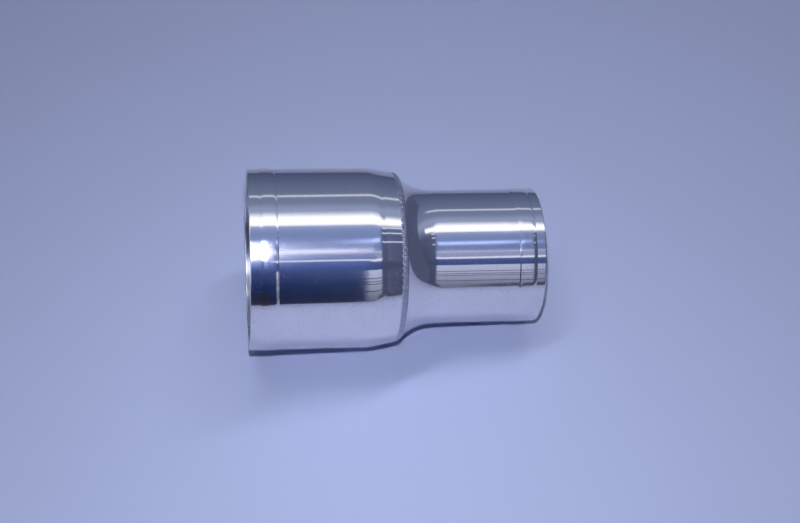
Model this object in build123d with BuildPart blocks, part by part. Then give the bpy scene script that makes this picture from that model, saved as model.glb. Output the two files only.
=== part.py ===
"""Welded tube reducer: two formed stainless shells joined by one girth weld.

The common axis lies along X. The origin is the centre of the large end's mouth,
and the small end points along +X. Each wall is drawn as the outer line of a half
section, with X along the axis and Y as the radius, given its thickness by an
offset towards the axis, and revolved about X.
"""

import os

from build123d import *

# Driving dimensions, in millimetres and degrees.
LARGE_OD = 76.2  # 3 in tube
SMALL_OD = 57.15  # 2 1/4 in tube
WALL = 1.5
LENGTH = 122.0
RIM_ROUND = 0.4  # broken edges of both mouths

# Large shell: hose bead behind the mouth, plain tube, shoulder, lip.
LARGE_BEAD_START = 4.3
LARGE_BEAD_END = 11.4
LARGE_BEAD_HEIGHT = 0.3
SHOULDER_START = 48.7
SHOULDER_RADIUS = 22.0
SHOULDER_SLOPE = 12.5
SHOULDER_CONE = 0.6
LIP_BEND_RADIUS = 14.0
LIP_SLOPE = 10.0
LIP_RUN = 6.77

# Small shell: bell that opens towards the lip, plain tube, hose bead, mouth.
BELL_END = 78.0
BELL_RADIUS = 21.0
BELL_TURN = 44.0
SMALL_BEAD_START = 110.7
SMALL_BEAD_END = 118.1
SMALL_BEAD_HEIGHT = 0.2

# Girth weld: how far the bead stands out of the wall line on each side.
CAP_HEIGHT = 0.3
ROOT_HEIGHT = 0.35


def straight_on(line, length):
    """Return the point reached by going straight on from the end of a line."""
    return line @ 1 + (line % 1) * length


def towards_axis(line):
    """Return the unit vector square to the end of a line, on the axis side."""
    tangent = line % 1
    normal = Vector(-tangent.Y, tangent.X, 0)
    return normal if normal.Y < 0 else normal * -1


large_r = LARGE_OD / 2
small_r = SMALL_OD / 2

# The large shell, drawn from its mouth to its lip.
with BuildPart() as large_end_shell:
    with BuildSketch() as large_wall:
        with BuildLine() as large_line:
            Line((0, large_r), (LARGE_BEAD_START, large_r))
            ThreePointArc(
                (LARGE_BEAD_START, large_r),
                ((LARGE_BEAD_START + LARGE_BEAD_END) / 2, large_r + LARGE_BEAD_HEIGHT),
                (LARGE_BEAD_END, large_r),
            )
            Line((LARGE_BEAD_END, large_r), (SHOULDER_START, large_r))
            shoulder = JernArc((SHOULDER_START, large_r), (1, 0), SHOULDER_RADIUS, -SHOULDER_SLOPE)
            cone = Line(shoulder @ 1, straight_on(shoulder, SHOULDER_CONE))
            lip_bend = JernArc(cone @ 1, cone % 1, LIP_BEND_RADIUS, SHOULDER_SLOPE - LIP_SLOPE)
            lip = Line(lip_bend @ 1, straight_on(lip_bend, LIP_RUN))
            offset(amount=WALL, side=Side.RIGHT, closed=True)
        make_face()
        fillet(large_wall.vertices().group_by(Axis.X)[0], radius=RIM_ROUND)
    revolve(axis=Axis.X)
large_end_shell.part.label = "large_end_shell"

# The small shell, drawn from its mouth back to the rim of its bell.
with BuildPart() as small_end_shell:
    with BuildSketch() as small_wall:
        with BuildLine() as small_line:
            Line((LENGTH, small_r), (SMALL_BEAD_END, small_r))
            ThreePointArc(
                (SMALL_BEAD_END, small_r),
                ((SMALL_BEAD_START + SMALL_BEAD_END) / 2, small_r + SMALL_BEAD_HEIGHT),
                (SMALL_BEAD_START, small_r),
            )
            Line((SMALL_BEAD_START, small_r), (BELL_END, small_r))
            bell = JernArc((BELL_END, small_r), (-1, 0), BELL_RADIUS, -BELL_TURN)
            offset(amount=WALL, side=Side.LEFT, closed=True)
        make_face()
        fillet(small_wall.vertices().group_by(Axis.X)[-1], radius=RIM_ROUND)
    revolve(axis=Axis.X)
small_end_shell.part.label = "small_end_shell"

# The weld metal fills the gap between the two edges, through the whole wall.
lip_outer = lip @ 1
lip_inner = lip_outer + towards_axis(lip) * WALL
bell_outer = bell @ 1
bell_inner = bell_outer + towards_axis(bell) * WALL
across_cap = Line(lip_outer, bell_outer)
across_root = Line(lip_inner, bell_inner)

with BuildPart() as girth_weld:
    with BuildSketch():
        with BuildLine():
            ThreePointArc(
                lip_outer,
                across_cap @ 0.5 - towards_axis(across_cap) * CAP_HEIGHT,
                bell_outer,
            )
            Line(bell_outer, bell_inner)
            ThreePointArc(
                bell_inner,
                across_root @ 0.5 + towards_axis(across_root) * ROOT_HEIGHT,
                lip_inner,
            )
            Line(lip_inner, lip_outer)
        make_face()
    revolve(axis=Axis.X)
girth_weld.part.label = "girth_weld"

os.makedirs("parts", exist_ok=True)
export_step(large_end_shell.part, "parts/large_end_shell.step")
export_step(small_end_shell.part, "parts/small_end_shell.step")
export_step(girth_weld.part, "parts/girth_weld.step")

for name, point in (("lip edge", lip_outer), ("bell edge", bell_outer)):
    print(f"{name}: X {point.X:.2f}, radius {point.Y:.2f}")
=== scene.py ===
"""The polished tube reducer: its finished surfaces, the weld bead, and a small studio.

Lengths are in metres and angles in degrees, in the CAD model's frame: the tube's
axis is +X, from the large mouth at the origin to the small mouth.
"""

import math

import bmesh
import bpy
from mathutils import Matrix, Vector, noise


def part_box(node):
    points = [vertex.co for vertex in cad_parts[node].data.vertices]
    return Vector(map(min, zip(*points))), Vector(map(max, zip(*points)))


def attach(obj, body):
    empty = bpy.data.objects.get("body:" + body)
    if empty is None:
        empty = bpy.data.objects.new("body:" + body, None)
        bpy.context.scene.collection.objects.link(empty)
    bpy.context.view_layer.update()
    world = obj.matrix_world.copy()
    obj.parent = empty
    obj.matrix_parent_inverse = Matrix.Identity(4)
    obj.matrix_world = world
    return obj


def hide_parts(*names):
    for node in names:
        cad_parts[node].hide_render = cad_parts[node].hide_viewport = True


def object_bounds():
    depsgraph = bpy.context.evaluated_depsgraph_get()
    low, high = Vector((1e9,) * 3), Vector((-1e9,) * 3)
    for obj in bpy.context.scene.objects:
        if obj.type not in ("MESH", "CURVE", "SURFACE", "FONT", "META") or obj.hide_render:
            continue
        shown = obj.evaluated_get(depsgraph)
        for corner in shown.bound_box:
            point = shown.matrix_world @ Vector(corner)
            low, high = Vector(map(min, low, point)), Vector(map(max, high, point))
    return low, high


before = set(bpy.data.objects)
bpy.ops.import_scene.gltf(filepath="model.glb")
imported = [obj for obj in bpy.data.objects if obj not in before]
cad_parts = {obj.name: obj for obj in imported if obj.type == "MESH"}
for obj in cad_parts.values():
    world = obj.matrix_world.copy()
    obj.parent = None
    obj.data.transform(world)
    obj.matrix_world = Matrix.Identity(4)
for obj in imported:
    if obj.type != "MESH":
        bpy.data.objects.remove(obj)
CAD_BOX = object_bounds()

MM = 0.001
TURN = 2 * math.pi
SEGMENTS = 360  # faces round the tube

# The shells' shape, as in the CAD model, except for the sides of the beads and the large bead's height.
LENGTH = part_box("small_end_shell")[1].x
WALL = 1.5 * MM
RIM_ROUND = 0.4 * MM
LARGE_R = 38.1 * MM
LARGE_BEAD = (4.3 * MM, 11.4 * MM)
LARGE_BEAD_HEIGHT = 0.275 * MM  # the CAD model's 0.3 mm, less what its flat facets lose
SHOULDER_START = 48.7 * MM
SHOULDER_RADIUS = 22.0 * MM
SHOULDER_SLOPE = 12.5
SHOULDER_CONE = 0.6 * MM
LIP_BEND_RADIUS = 14.0 * MM
LIP_SLOPE = 10.0
LIP_RUN = 6.77 * MM
SMALL_R = 28.575 * MM
SMALL_BEAD = (110.7 * MM, 118.1 * MM)
SMALL_BEAD_HEIGHT = 0.2 * MM
BELL_END = 78.0 * MM
BELL_RADIUS = 21.0 * MM
BELL_TURN = 44.0
FOOT = 0.03 * MM  # a short face at each foot of a bead, which keeps its shading there

# The weld bead. Cap is outside, root is inside.
RIPPLES = 92
RIPPLE_SEGMENTS = 16
CAP_POINTS = 24
ROOT_POINTS = 12
LIP_LAP = 0.70 * MM
BELL_LAP = 0.50 * MM
CAP_HEIGHT = 0.60 * MM
CAP_TUCK = 0.05 * MM
CAP_RIPPLE = 0.17 * MM
ROOT_HEIGHT = 0.35 * MM
ROOT_TUCK = 0.12 * MM
ROOT_RIPPLE = 0.05 * MM
WANDER = 0.16 * MM
LUMP_HEIGHT = 0.30 * MM
LUMP_PLACE = 0.84  # across the cap, from the lip's toe at 0 to the bell's toe at 1
LUMP_WIDTH = 0.09


# ---------------------------------------------------------------- outlines


def straight(start, end, step):
    """Points from start to end, end included and start left out."""
    start = Vector(start)
    end = Vector(end)
    count = max(1, round((end - start).length / step))
    return [start.lerp(end, i / count) for i in range(1, count + 1)]


def bend(start, heading, radius, turn, step):
    """Points along an arc that leaves start at a heading and turns left by turn degrees."""
    start = Vector(start)
    side = math.copysign(1, turn)
    first = math.radians(heading - 90 * side)
    centre = start - Vector((math.cos(first), math.sin(first))) * radius
    count = max(2, round(abs(math.radians(turn)) * radius / step))
    angles = [first + math.radians(turn) * i / count for i in range(1, count + 1)]
    return [centre + Vector((math.cos(a), math.sin(a))) * radius for a in angles]


def hump(start, end, height, first, last):
    """A bead from start to end that stands height proud.

    The powers first and last square up its two sides.
    """
    count = 48
    start = Vector(start)
    end = Vector(end)
    points = []
    for i in range(1, count + 1):
        along = i / count
        power = first if along < 0.5 else last
        points.append(start.lerp(end, along) + Vector((0, height * (1 - abs(2 * along - 1) ** power))))
    return points


def large_outline():
    """The large shell's outer line, from its mouth to its lip."""
    line = [Vector((0, LARGE_R))]
    line += straight(line[-1], (LARGE_BEAD[0], LARGE_R), 0.4 * MM)
    line += straight(line[-1], (LARGE_BEAD[0] + FOOT, LARGE_R), FOOT)
    line += hump(line[-1], (LARGE_BEAD[1], LARGE_R), LARGE_BEAD_HEIGHT, 3, 5)
    line += straight(line[-1], (LARGE_BEAD[1] + FOOT, LARGE_R), FOOT)
    line += straight(line[-1], (SHOULDER_START, LARGE_R), 1.6 * MM)
    line += bend(line[-1], 0, SHOULDER_RADIUS, -SHOULDER_SLOPE, 0.3 * MM)
    slope = math.radians(-SHOULDER_SLOPE)
    cone_end = line[-1] + Vector((math.cos(slope), math.sin(slope))) * SHOULDER_CONE
    line += straight(line[-1], cone_end, 0.4 * MM)
    line += bend(cone_end, -SHOULDER_SLOPE, LIP_BEND_RADIUS, SHOULDER_SLOPE - LIP_SLOPE, 0.2 * MM)
    slope = math.radians(-LIP_SLOPE)
    lip_end = line[-1] + Vector((math.cos(slope), math.sin(slope))) * LIP_RUN
    line += straight(line[-1], lip_end, 0.3 * MM)
    return line


def small_outline():
    """The small shell's outer line, from its mouth back to the rim of its bell."""
    line = [Vector((LENGTH, SMALL_R))]
    line += straight(line[-1], (SMALL_BEAD[1], SMALL_R), 0.6 * MM)
    line += straight(line[-1], (SMALL_BEAD[1] - FOOT, SMALL_R), FOOT)
    line += hump(line[-1], (SMALL_BEAD[0], SMALL_R), SMALL_BEAD_HEIGHT, 6, 5)
    line += straight(line[-1], (SMALL_BEAD[0] - FOOT, SMALL_R), FOOT)
    line += straight(line[-1], (BELL_END, SMALL_R), 1.6 * MM)
    line += bend(line[-1], 180, BELL_RADIUS, -BELL_TURN, 0.3 * MM)
    return line


def inner_side(line):
    """The line one wall nearer the axis."""
    inner = []
    for i, point in enumerate(line):
        before = line[max(i - 1, 0)]
        after = line[min(i + 1, len(line) - 1)]
        along = (after - before).normalized()
        normal = Vector((-along.y, along.x))
        if normal.y > 0:
            normal = -normal
        inner.append(point + normal * WALL)
    return inner


def section(line):
    """The closed wall section of a shell whose outer line starts at its mouth, with a rounded rim.

    Also returns how many of its points lie on the rim and the outside.
    """
    inner = inner_side(line)
    outwards = math.copysign(1, line[0].x - line[1].x)
    outer_centre = Vector((line[0].x - outwards * RIM_ROUND, line[0].y - RIM_ROUND))
    inner_centre = Vector((inner[0].x - outwards * RIM_ROUND, inner[0].y + RIM_ROUND))
    rim = []
    for centre, first in ((inner_centre, -90), (outer_centre, 0)):
        for i in range(7):
            angle = math.radians(first + 15 * i)
            rim.append(centre + Vector((math.cos(angle) * outwards, math.sin(angle))) * RIM_ROUND)
    past_rim = [p for p in line if abs(p.x - line[0].x) > RIM_ROUND * 1.01]
    inner_past_rim = [p for p in inner if abs(p.x - inner[0].x) > RIM_ROUND * 1.01]
    return rim + past_rim + inner_past_rim[::-1], len(rim) + len(past_rim)


# ---------------------------------------------------------------- meshes


def lathe(name, loop, place, segments=SEGMENTS):
    """A closed ring-shaped mesh: a loop carried round the X axis.

    place(i, item, angle) gives the x and radius of the loop's item i at an angle.
    """
    mesh = bpy.data.meshes.new(name)
    count = len(loop)
    verts = []
    for s in range(segments):
        angle = TURN * s / segments
        for i, point in enumerate(loop):
            x, radius = place(i, point, angle)
            verts.append((x, radius * math.cos(angle), radius * math.sin(angle)))
    faces = []
    for s in range(segments):
        here = s * count
        there = (s + 1) % segments * count
        for i in range(count):
            j = (i + 1) % count
            faces.append((here + i, here + j, there + j, there + i))
    mesh.from_pydata(verts, [], faces)
    shape = bmesh.new()
    shape.from_mesh(mesh)
    bmesh.ops.recalc_face_normals(shape, faces=shape.faces)
    shape.to_mesh(mesh)
    shape.free()
    mesh.polygons.foreach_set("use_smooth", [True] * len(mesh.polygons))
    mesh.set_sharp_from_angle(angle=math.radians(40))
    piece = bpy.data.objects.new(name, mesh)
    bpy.context.scene.collection.objects.link(piece)
    return piece


def make_shell(name, line, node, outside, inside):
    """One shell, polished outside and on its rim, plain inside."""
    loop, outer_count = section(line)
    shell = lathe(name, loop, lambda i, point, angle: (point.x, point.y))
    shell.data.materials.append(outside)
    shell.data.materials.append(inside)
    count = len(loop)
    for face in shell.data.polygons:
        if face.index % count >= outer_count:
            face.material_index = 1
    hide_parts(node)
    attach(shell, "root")


def make_weld(large, small, finish):
    """The weld bead: overlapping crescents of set metal round the seam, and a plainer root inside."""
    lip_toe = large[-1] + (large[-3] - large[-1]).normalized() * LIP_LAP
    bell_toe = small[-1] + (small[-3] - small[-1]).normalized() * BELL_LAP
    lines = {
        "cap": (lip_toe, bell_toe, CAP_HEIGHT, CAP_TUCK, CAP_RIPPLE),
        "root": (inner_side(small)[-1], inner_side(large)[-1], ROOT_HEIGHT, ROOT_TUCK, ROOT_RIPPLE),
    }
    loop = [("cap", i / CAP_POINTS) for i in range(CAP_POINTS + 1)]
    loop += [("root", i / ROOT_POINTS) for i in range(ROOT_POINTS + 1)]

    def place(i, point, angle):
        side, t = point
        start, end, height, tuck, ripple = lines[side]
        along = (end - start).normalized()
        out = Vector((-along.y, along.x))
        ring = Vector((math.cos(angle), math.sin(angle), 0)) * 9
        wander = noise.noise(ring) * WANDER
        position = start.lerp(end, t) + along * (wander * t * (1 - t) * 2)
        dome = 4 * t * (1 - t)
        rise = height * dome - tuck * (1 - dome)
        uneven = 0.35 * noise.noise(ring * 2.3 + Vector((0, 0, 7)))
        phase = RIPPLES * angle / TURN + 0.55 * (2 * t - 1) ** 2 + uneven
        ridge = abs(math.sin(math.pi * phase)) ** 0.6 - 0.62
        rise += ripple * ridge * dome ** 0.5
        if side == "cap":
            lump = max(0, noise.noise(ring * 14 + Vector((0, 0, 30 * t))))
            rise += LUMP_HEIGHT * lump * math.exp(-((t - LUMP_PLACE) / LUMP_WIDTH) ** 2)
        position += out * rise
        return position.x, position.y

    bead = lathe("weld_bead", loop, place, RIPPLE_SEGMENTS * RIPPLES)
    bead.data.materials.append(finish)
    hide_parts("girth_weld")
    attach(bead, "root")


# ---------------------------------------------------------------- materials

STEEL = (0.84, 0.80, 0.79)
SCATTERED = (0.78, 0.79, 0.86)
DRAWN = (0.62, 0.63, 0.66)
WELD = (0.60, 0.59, 0.66)
FLOOR_TINTS = ((0.440, 0.510, 0.845), (0.460, 0.530, 0.865))


def new_material(name):
    """A material with an empty node tree, and the tree."""
    material = bpy.data.materials.new(name)
    material.use_nodes = True
    tree = material.node_tree
    tree.nodes.clear()
    return material, tree


def add(tree, kind, **settings):
    """A node with its settings; a setting that names an input socket fills that socket."""
    node = tree.nodes.new(kind)
    for key, value in settings.items():
        if hasattr(node, key):
            setattr(node, key, value)
        else:
            node.inputs[key.replace("_", " ")].default_value = value
    return node


def scaled_position(tree, scale):
    """Object coordinates stretched by a scale for each axis."""
    position = add(tree, "ShaderNodeTexCoord")
    mapping = add(tree, "ShaderNodeMapping")
    mapping.inputs["Scale"].default_value = scale
    tree.links.new(position.outputs["Object"], mapping.inputs["Vector"])
    return mapping.outputs["Vector"]


def noise_of(tree, vector, detail):
    """Noise from 0 to 1 in space."""
    texture = add(tree, "ShaderNodeTexNoise")
    texture.inputs["Scale"].default_value = 1.0
    texture.inputs["Detail"].default_value = detail
    texture.inputs["Roughness"].default_value = 0.6
    tree.links.new(vector, texture.inputs["Vector"])
    return texture.outputs["Fac"]


def calc(tree, operation, first, second=None):
    """A sum on numbers or sockets."""
    node = add(tree, "ShaderNodeMath", operation=operation)
    for socket, value in zip(node.inputs, (first, second)):
        if isinstance(value, (int, float)):
            socket.default_value = value
        elif value is not None:
            tree.links.new(value, socket)
    return node.outputs[0]


def spread(tree, value, low, high, to_low, to_high):
    """Maps a value's range low..high onto to_low..to_high, held at the ends."""
    node = add(tree, "ShaderNodeMapRange")
    node.inputs["From Min"].default_value = low
    node.inputs["From Max"].default_value = high
    node.inputs["To Min"].default_value = to_low
    node.inputs["To Max"].default_value = to_high
    tree.links.new(value, node.inputs["Value"])
    return node.outputs["Result"]


def bump_of(tree, height, distance, normal=None):
    """A normal dented by a height map, on top of another normal."""
    node = add(tree, "ShaderNodeBump")
    node.inputs["Strength"].default_value = 1.0
    node.inputs["Distance"].default_value = distance
    tree.links.new(height, node.inputs["Height"])
    if normal is not None:
        tree.links.new(normal, node.inputs["Normal"])
    return node.outputs["Normal"]


def metal(tree, colour, roughness, normal, along_tube=0.0):
    """A metal shader; along_tube stretches its blur along the tube's axis."""
    shader = add(tree, "ShaderNodeBsdfPrincipled")
    shader.inputs["Base Color"].default_value = (*colour, 1)
    shader.inputs["Metallic"].default_value = 1.0
    if isinstance(roughness, float):
        shader.inputs["Roughness"].default_value = roughness
    else:
        tree.links.new(roughness, shader.inputs["Roughness"])
    tree.links.new(normal, shader.inputs["Normal"])
    if along_tube:
        shader.inputs["Anisotropic"].default_value = along_tube
        shader.inputs["Anisotropic Rotation"].default_value = 0.25
        tangent = add(tree, "ShaderNodeTangent", direction_type="RADIAL", axis="X")
        tree.links.new(tangent.outputs["Tangent"], shader.inputs["Tangent"])
    return shader


def mixed(tree, share, first, second):
    """A shader between two others; share is how much of it is the second."""
    mix = add(tree, "ShaderNodeMixShader")
    if isinstance(share, float):
        mix.inputs[0].default_value = share
    else:
        tree.links.new(share, mix.inputs[0])
    tree.links.new(first, mix.inputs[1])
    tree.links.new(second, mix.inputs[2])
    return mix.outputs[0]


def ramp_of(tree, factor, stops):
    """A colour ramp fed by factor; stops are (position, colour) pairs."""
    node = add(tree, "ShaderNodeValToRGB")
    ramp = node.color_ramp
    ramp.elements.remove(ramp.elements[-1])
    for i, (position, colour) in enumerate(stops):
        element = ramp.elements[0] if i == 0 else ramp.elements.new(position)
        element.position = position
        element.color = (*colour, 1)
    tree.links.new(factor, node.inputs["Fac"])
    return node.outputs["Color"]


def polished_steel():
    """Mirror polish: a sharp reflection, a haze along the tube, and specks that scatter more widely."""
    material, tree = new_material("polished_steel")
    lines = noise_of(tree, scaled_position(tree, (2600, 60, 60)), 4.0)
    waves = noise_of(tree, scaled_position(tree, (55, 40, 40)), 2.0)
    specks = noise_of(tree, scaled_position(tree, (2300, 2300, 2300)), 2.0)
    patches = noise_of(tree, scaled_position(tree, (110, 75, 75)), 3.0)
    normal = bump_of(tree, waves, 0.022 * MM)
    normal = bump_of(tree, lines, 0.0006 * MM, normal)
    normal = bump_of(tree, specks, 0.0006 * MM, normal)
    sharp = metal(tree, STEEL, spread(tree, lines, 0.3, 0.8, 0.030, 0.080), normal)
    hazy = metal(tree, STEEL, 0.24, normal, 0.9)
    wide = metal(tree, SCATTERED, 0.30, normal)
    rings = noise_of(tree, scaled_position(tree, (1100, 3, 3)), 2.0)
    speck_share = spread(tree, specks, 0.52, 0.68, 0.01, 0.36)
    patch_share = spread(tree, patches, 0.36, 0.66, 0.12, 1.0)
    scatter = calc(tree, "MULTIPLY", speck_share, patch_share)
    scatter = calc(tree, "MAXIMUM", scatter, spread(tree, rings, 0.62, 0.74, 0.0, 0.16))
    surface = mixed(tree, 0.14, sharp.outputs[0], hazy.outputs[0])
    surface = mixed(tree, scatter, surface, wide.outputs[0])
    output = add(tree, "ShaderNodeOutputMaterial")
    tree.links.new(surface, output.inputs["Surface"])
    return material


def drawn_steel():
    """The inside: tube as drawn, satin, with fine lines round it."""
    material, tree = new_material("drawn_steel_inside")
    lines = noise_of(tree, scaled_position(tree, (1500, 40, 40)), 5.0)
    cloud = noise_of(tree, scaled_position(tree, (90, 90, 90)), 3.0)
    normal = bump_of(tree, lines, 0.003 * MM)
    shader = metal(tree, DRAWN, spread(tree, cloud, 0.3, 0.7, 0.24, 0.36), normal, 0.6)
    output = add(tree, "ShaderNodeOutputMaterial")
    tree.links.new(shader.outputs[0], output.inputs["Surface"])
    return material


def weld_metal():
    """Set weld metal: bright, dented and finely pitted."""
    material, tree = new_material("weld_metal")
    pits = noise_of(tree, scaled_position(tree, (2300, 2300, 2300)), 3.0)
    dents = noise_of(tree, scaled_position(tree, (1300, 1300, 1300)), 2.0)
    cloud = noise_of(tree, scaled_position(tree, (300, 300, 300)), 3.0)
    normal = bump_of(tree, dents, 1.0 * MM)
    normal = bump_of(tree, pits, 0.020 * MM, normal)
    shader = metal(tree, WELD, spread(tree, cloud, 0.3, 0.7, 0.08, 0.18), normal)
    output = add(tree, "ShaderNodeOutputMaterial")
    tree.links.new(shader.outputs[0], output.inputs["Surface"])
    return material


# ---------------------------------------------------------------- studio

# Angles round the tube's axis: 0 is level on the camera's side, 90 overhead, 180 level behind.
CAMERA_ANGLE = 50.0
CAMERA_X = -0.0141
CAMERA_DISTANCE = 0.5568
CAMERA_TURN = 8.06  # towards the small end
CAMERA_NOD = 0.20
CAMERA_LEAN = 1.07
FOCAL_LENGTH = 59.2

KEY_ANGLE = 55.2
KEY_DISTANCE = 0.52
KEY_X = -0.008
KEY_SIZE = (0.008, 0.008)
KEY_WATTS = 0.64
KEY_BEAM = 120
KEY_AIM = Vector((0.04, -0.04, -0.04))
OVERHEAD_ANGLE = 97
OVERHEAD_DISTANCE = 1.0
OVERHEAD_SIZE = (1.0, 0.10)
OVERHEAD_WATTS = 4.1

TENT_RADIUS = 0.415
TENT_HALF_LENGTH = 0.62
TENT_ARC = (-20, 200)
PANEL_GAP = 0.004  # between the tent and the panels that hang in front of it
CARD_HALF_WIDTH = 0.40
CARD_BOTTOM = -0.06


def around_axis(angle, distance, x):
    """The point at an angle round the tube's axis and a distance from it."""
    turn = math.radians(angle)
    return Vector((x, -math.cos(turn) * distance, math.sin(turn) * distance))


def resting_tilt(outline):
    """The tilt at which the reducer lies on its shoulder and small mouth, and the floor's depth then."""
    step = math.radians(0.01)
    tilt = 0.0
    lowest = outline[0]
    while lowest.x < BELL_END:
        tilt += step
        lowest = max(outline, key=lambda p: p.x * math.sin(tilt) + p.y * math.cos(tilt))
    return tilt, lowest.x * math.sin(tilt) + lowest.y * math.cos(tilt)


def stage_mesh(name, verts, faces, material):
    """A thing in the studio that isn't part of the object."""
    mesh = bpy.data.meshes.new(name)
    mesh.from_pydata(verts, [], faces)
    mesh.materials.append(material)
    thing = bpy.data.objects.new(name, mesh)
    bpy.context.scene.collection.objects.link(thing)
    return thing


def only_in_reflections(thing):
    """Hides a thing from everything but the polish."""
    thing.visible_camera = False
    thing.visible_diffuse = False
    thing.visible_transmission = False
    thing.visible_shadow = False


def floor_material():
    """A pale matt sheet, very faintly mottled."""
    material, tree = new_material("pale_floor")
    fibres = noise_of(tree, scaled_position(tree, (900, 900, 900)), 4.0)
    shader = add(tree, "ShaderNodeBsdfPrincipled")
    tint = add(tree, "ShaderNodeValToRGB")
    for element, colour in zip(tint.color_ramp.elements, FLOOR_TINTS):
        element.color = (*colour, 1)
    tree.links.new(fibres, tint.inputs["Fac"])
    tree.links.new(tint.outputs["Color"], shader.inputs["Base Color"])
    shader.inputs["Roughness"].default_value = 0.85
    shader.inputs["Specular IOR Level"].default_value = 0.1
    output = add(tree, "ShaderNodeOutputMaterial")
    tree.links.new(shader.outputs[0], output.inputs["Surface"])
    return material


def make_floor(tilt, depth):
    """The floor, tilted under the reducer, which keeps its axis along X."""
    half = 6.0
    verts = [(-half, -half, 0), (half, -half, 0), (half, half, 0), (-half, half, 0)]
    floor = stage_mesh("floor", verts, [(0, 1, 2, 3)], floor_material())
    floor.matrix_world = Matrix.Rotation(-tilt, 4, "Y") @ Matrix.Translation((0, 0, -depth))


# The dim room that the polish reflects: angle and light.
ROOM = (
    (-10, (0.045, 0.060, 0.130)),
    (60, (0.060, 0.078, 0.155)),
    (84, (0.080, 0.105, 0.200)),
    (112, (0.300, 0.370, 0.580)),
    (121, (0.185, 0.235, 0.385)),
    (140, (0.145, 0.190, 0.320)),
    (185, (0.062, 0.084, 0.165)),
    (200, (0.070, 0.090, 0.170)),
)
ROOM_RANGE = (-20.0, 210.0)


def tent_material():
    """Light that depends on the angle round the tube's axis."""
    material, tree = new_material("studio_tent")
    place = add(tree, "ShaderNodeTexCoord")
    split = add(tree, "ShaderNodeSeparateXYZ")
    tree.links.new(place.outputs["Object"], split.inputs[0])
    towards_camera = calc(tree, "MULTIPLY", split.outputs["Y"], -1.0)
    angle = calc(tree, "DEGREES", calc(tree, "ARCTAN2", split.outputs["Z"], towards_camera))
    below = calc(tree, "LESS_THAN", angle, -90.0)
    angle = calc(tree, "ADD", angle, calc(tree, "MULTIPLY", below, 360.0))
    low, high = ROOM_RANGE
    stops = [((stop - low) / (high - low), light) for stop, light in ROOM]
    glow = add(tree, "ShaderNodeEmission")
    tree.links.new(ramp_of(tree, spread(tree, angle, low, high, 0.0, 1.0), stops), glow.inputs["Color"])
    output = add(tree, "ShaderNodeOutputMaterial")
    tree.links.new(glow.outputs[0], output.inputs["Surface"])
    return material


def make_tent():
    """A closed tunnel of dim light round the object, which only reflections see."""
    steps = 110
    low, high = TENT_ARC
    verts = []
    for end in (-TENT_HALF_LENGTH, TENT_HALF_LENGTH):
        for i in range(steps + 1):
            verts.append(around_axis(low + (high - low) * i / steps, TENT_RADIUS, end))
    faces = [(i, i + 1, steps + 2 + i, steps + 1 + i) for i in range(steps)]
    faces.append(tuple(range(steps + 1)))
    faces.append(tuple(range(2 * steps + 1, steps, -1)))
    only_in_reflections(stage_mesh("studio_tent", verts, faces, tent_material()))


def panel_material(name, lights):
    """Light that runs through colours from the low edge to the high edge, clear where cover is low."""
    material, tree = new_material(name)
    across = add(tree, "ShaderNodeAttribute", attribute_name="across")
    top = max(max(light) for light in lights)
    last = max(1, len(lights) - 1)
    stops = [(i / last, tuple(part / top for part in light)) for i, light in enumerate(lights)]
    glow = add(tree, "ShaderNodeEmission", Strength=top)
    tree.links.new(ramp_of(tree, across.outputs["Fac"], stops), glow.inputs["Color"])
    clear = add(tree, "ShaderNodeBsdfTransparent")
    cover = add(tree, "ShaderNodeAttribute", attribute_name="cover")
    output = add(tree, "ShaderNodeOutputMaterial")
    surface = mixed(tree, cover.outputs["Fac"], clear.outputs[0], glow.outputs[0])
    tree.links.new(surface, output.inputs["Surface"])
    return material


def faded(position, near, far):
    """Cover at a position from 0 to 1, with soft shares near and far at its ends."""
    cover = 1.0
    for room, share in ((position, near), (1 - position, far)):
        if share:
            t = min(room / share, 1.0)
            cover *= t * t * (3 - 2 * t)
    return cover


def make_panel(name, start, end, lights, edge=0.0, left=0.0, right=0.0, nearer=0.0):
    """A curved sheet of light round the axis, between two edges (x, low angle, high angle).

    Its long edges fade over the share edge of its width, its ends over the shares left and right.
    """
    wide, long = 48, 24
    radius = TENT_RADIUS - PANEL_GAP - nearer
    verts, across, cover = [], [], []
    for i in range(long + 1):
        t = i / long
        x, low, high = (a + (b - a) * t for a, b in zip(start, end))
        for j in range(wide + 1):
            w = j / wide
            verts.append(around_axis(low + (high - low) * w, radius, x))
            across.append(w)
            cover.append(faded(w, edge, edge) * faded(t, left, right))
    row = wide + 1
    corners = [i * row + j for i in range(long) for j in range(wide)]
    faces = [(corner, corner + 1, corner + row + 1, corner + row) for corner in corners]
    panel = stage_mesh(name, verts, faces, panel_material(name, lights))
    for key, values in (("across", across), ("cover", cover)):
        panel.data.attributes.new(key, "FLOAT", "POINT").data.foreach_set("value", values)
    only_in_reflections(panel)


# The panels' colours of light, each from a panel's low edge to its high edge.
NAVY = (
    (0.012, 0.018, 0.060),
    (0.008, 0.015, 0.060),
    (0.005, 0.020, 0.100),
    (0.025, 0.045, 0.180),
    (0.085, 0.150, 0.460),
)
BROWN = ((0.020, 0.018, 0.035), (0.016, 0.016, 0.040))
PALE = (
    (0.12, 0.14, 0.22),
    (0.17, 0.20, 0.31),
    (0.30, 0.335, 0.49),
    (0.44, 0.50, 0.72),
    (0.52, 0.60, 0.86),
)
UPPER = ((0.13, 0.17, 0.44), (0.17, 0.24, 0.51), (0.24, 0.32, 0.60))
RAIL = ((0.040, 0.070, 0.220), (0.060, 0.100, 0.300))
SLAT = ((0.030, 0.035, 0.070),)
SKIRTING = ((0.030, 0.032, 0.055), (0.06, 0.07, 0.12))
LINE = ((0.85, 0.95, 1.25),)
HIGH = ((0.72, 0.78, 1.10),)
SOFT_LINE = ((0.38, 0.44, 0.66),)
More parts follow.
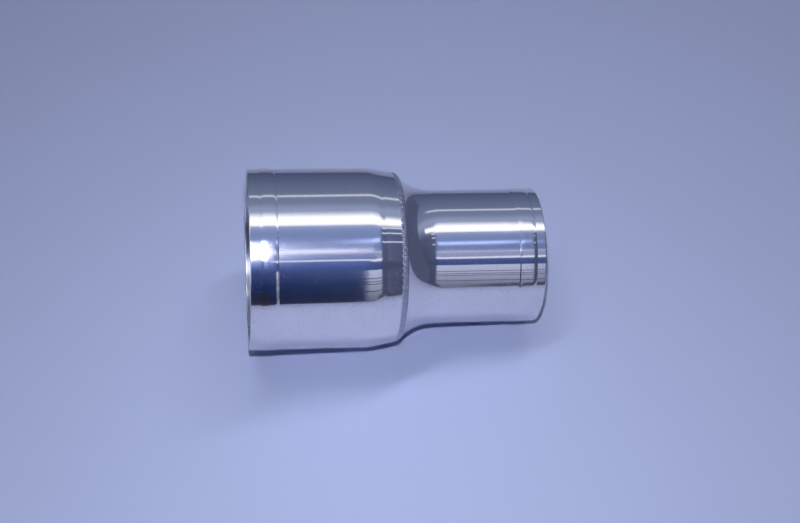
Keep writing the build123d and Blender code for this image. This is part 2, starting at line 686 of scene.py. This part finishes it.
SMALL_LINE = ((0.82, 0.90, 1.22),)
SHELF = ((0.28, 0.34, 0.56),)
LEFT_GLOW = ((1.0, 1.1, 1.5), (1.4, 1.5, 1.8))
BLUE = ((0.60, 0.80, 1.50),)
WHITE = ((1.50, 1.58, 1.75),)
BACK_LINE = ((0.62, 0.68, 0.86),)
HALO = ((0.75, 0.95, 1.8),)
LAMP = ((5.5, 5.8, 7.0),)
LEFT_CARD = (0.70, 0.78, 1.05)
RIGHT_CARD = (0.075, 0.095, 0.175)

# Where panels meet or end along the tube. The lip and most of the bell see only what is beyond LIP_LEFT.
TUNNEL_LEFT = -0.60
WALL_LEFT = 0.088
WALL_RIGHT = 0.250
SLAT_RIGHT = 0.245
LINE_RIGHT = 0.252
LIP_LEFT = 0.236
LIP_RIGHT = 0.262
LOW_EDGE = -12  # degrees, below the floor


def make_end_card(name, x, top, light):
    """An upright card across the tunnel, beyond one end of the object."""
    half = CARD_HALF_WIDTH
    verts = [(x, -half, CARD_BOTTOM), (x, half, CARD_BOTTOM), (x, half, top), (x, -half, top)]
    card = stage_mesh(name, verts, [(0, 1, 2, 3)], panel_material(name, (light,)))
    for key, value in (("across", 0.5), ("cover", 1.0)):
        card.data.attributes.new(key, "FLOAT", "POINT").data.foreach_set("value", [value] * len(verts))
    only_in_reflections(card)


def make_panels():
    """What stands round the object, seen only in its polish."""
    make_panel(
        "left_wall", (TUNNEL_LEFT, 6, 82), (-0.190, 16, 72), LEFT_GLOW, edge=0.12, right=0.15, nearer=0.004
    )
    make_panel("navy_card", (-0.24, LOW_EDGE, 46), (0.090, LOW_EDGE, 46), NAVY)
    make_panel(
        "brown_box", (-0.20, LOW_EDGE, 13), (0.020, LOW_EDGE, 11), BROWN, edge=0.1, right=0.03, nearer=0.002
    )
    make_panel("upper_wall", (TUNNEL_LEFT, 46, 90), (0.255, 46, 90), UPPER, edge=0.03, right=0.06)
    make_panel("pale_wall", (WALL_LEFT, LOW_EDGE, 35), (WALL_RIGHT, LOW_EDGE, 35), PALE, right=0.28)
    make_panel("rail", (WALL_LEFT, 35, 43), (WALL_RIGHT, 35, 45), RAIL, right=0.28)
    for angle in (8, 17, 20, 24):
        slat_edges = (angle, angle + 1.3)
        make_panel(
            f"slat_{angle}", (WALL_LEFT, *slat_edges), (SLAT_RIGHT, *slat_edges), SLAT,
            edge=0.3, right=0.25, nearer=0.002,
        )
    make_panel(
        "skirting", (0.150, LOW_EDGE, 3), (0.300, LOW_EDGE, 7), SKIRTING,
        edge=0.2, left=0.3, right=0.1, nearer=0.002,
    )
    make_panel("low_line", (0.022, 46.0, 48.4), (0.095, 46.0, 48.4), LINE, edge=0.4, left=0.05, nearer=0.002)
    make_panel(
        "low_line_right", (0.090, 44.0, 48.5), (LINE_RIGHT, 44.4, 50.5), SMALL_LINE,
        edge=0.42, left=0.03, right=0.25, nearer=0.002,
    )
    make_panel(
        "high_line", (-0.05, 52.5, 64), (0.130, 53.0, 63), HIGH, edge=0.5, left=0.1, right=0.35, nearer=0.002
    )
    make_panel(
        "high_line_right", (0.100, 52.5, 60.5), (LINE_RIGHT, 53.2, 59.5), SOFT_LINE,
        edge=0.45, left=0.1, right=0.3, nearer=0.003,
    )
    make_panel(
        "shelf", (0.110, 47, 61), (LINE_RIGHT, 47, 61), SHELF, edge=0.2, left=0.3, right=0.3, nearer=0.001
    )
    make_panel(
        "blue_glow", (0.060, 64, 74), (0.230, 67, 77), BLUE, edge=0.5, left=0.3, right=0.3, nearer=0.002
    )
    make_panel("strip_light", (TUNNEL_LEFT, 81.5, 110.5), (0.191, 82.0, 110.5), WHITE, edge=0.5)
    make_panel("strip_taper", (0.190, 82.0, 110.5), (LIP_RIGHT, 88.0, 103.5), WHITE, edge=0.5)
    make_panel("strip_end", (LIP_RIGHT, 88.0, 103.5), (0.450, 90.0, 104.0), WHITE, edge=0.5, right=0.2)
    make_panel(
        "back_line", (TUNNEL_LEFT, 128, 131.8), (0.350, 129.5, 136), BACK_LINE, edge=0.4, left=0.1, right=0.1
    )
    for low, high in ((86.8, 89.2), (80.0, 82.2), (68.6, 70.6)):
        make_panel(
            f"blind_{low:.0f}", (LIP_LEFT, low, high), (0.300, low, high), LINE,
            edge=0.35, left=0.1, right=0.2, nearer=0.003,
        )
    make_panel(
        "lamp_halo", (-0.090, 36, 78), (0.055, 36, 78), HALO, edge=0.5, left=0.4, right=0.5, nearer=0.005
    )
    make_panel("lamp", (-0.140, 46, 75), (0.030, 46, 73), LAMP, edge=0.35, left=0.1, right=0.25, nearer=0.007)


def make_light(name, place, size, watts, aim, beam=180.0):
    """An area light that only lights surfaces: neither the camera nor the polish sees it."""
    lamp = bpy.data.lights.new(name, "AREA")
    lamp.shape = "RECTANGLE"
    lamp.size, lamp.size_y = size
    lamp.energy = watts
    lamp.spread = math.radians(beam)
    light = bpy.data.objects.new(name, lamp)
    light.location = place
    light.rotation_mode = "QUATERNION"
    light.rotation_quaternion = (aim - place).to_track_quat("-Z", "Y")
    light.visible_glossy = False
    light.visible_camera = False
    bpy.context.scene.collection.objects.link(light)


def make_camera():
    """Looks down at the reducer from beside the large mouth, turned and leaning a little."""
    lens = bpy.data.cameras.new("camera")
    lens.lens = FOCAL_LENGTH
    lens.sensor_width = 36
    lens.clip_start = 0.01
    lens.clip_end = 50
    camera = bpy.data.objects.new("camera", lens)
    bpy.context.scene.collection.objects.link(camera)
    back = around_axis(CAMERA_ANGLE, 1.0, 0.0)
    right = Vector((1, 0, 0))
    square_on = Matrix((right, back.cross(right), back)).transposed().to_4x4()
    turn = Matrix.Rotation(math.radians(-CAMERA_TURN), 4, "Y")
    nod = Matrix.Rotation(math.radians(-CAMERA_NOD), 4, "X")
    lean = Matrix.Rotation(math.radians(-CAMERA_LEAN), 4, "Z")
    place = Matrix.Translation(around_axis(CAMERA_ANGLE, CAMERA_DISTANCE, CAMERA_X))
    camera.matrix_world = place @ square_on @ turn @ nod @ lean
    bpy.context.scene.camera = camera


def make_world():
    """A trace of light from everywhere."""
    world = bpy.data.worlds.new("soft_room")
    bpy.context.scene.world = world
    world.use_nodes = True
    background = world.node_tree.nodes["Background"]
    background.inputs["Color"].default_value = (0.9, 0.95, 1.0, 1)
    background.inputs["Strength"].default_value = 0.012


def make_studio(outline):
    """The floor, everything that the polish reflects, the camera and the lights."""
    tilt, depth = resting_tilt(outline)
    make_floor(tilt, depth)
    make_tent()
    make_panels()
    make_end_card("left_card", -0.55, 0.30, LEFT_CARD)
    make_end_card("right_card", 0.36, 0.20, RIGHT_CARD)
    make_camera()
    make_world()
    key_place = around_axis(KEY_ANGLE, KEY_DISTANCE, KEY_X)
    make_light("key", key_place, KEY_SIZE, KEY_WATTS, KEY_AIM, KEY_BEAM)
    overhead_place = around_axis(OVERHEAD_ANGLE, OVERHEAD_DISTANCE, 0.0)
    middle = (CAD_BOX[0] + CAD_BOX[1]) / 2
    make_light("overhead", overhead_place, OVERHEAD_SIZE, OVERHEAD_WATTS, middle)


bpy.context.scene.view_settings.view_transform = "Standard"

large_line = large_outline()
small_line = small_outline()
polish = polished_steel()
inside = drawn_steel()
make_shell("large_shell", large_line, "large_end_shell", polish, inside)
make_shell("small_shell", small_line, "small_end_shell", polish, inside)
make_weld(large_line, small_line, weld_metal())
make_studio(large_line + small_line)
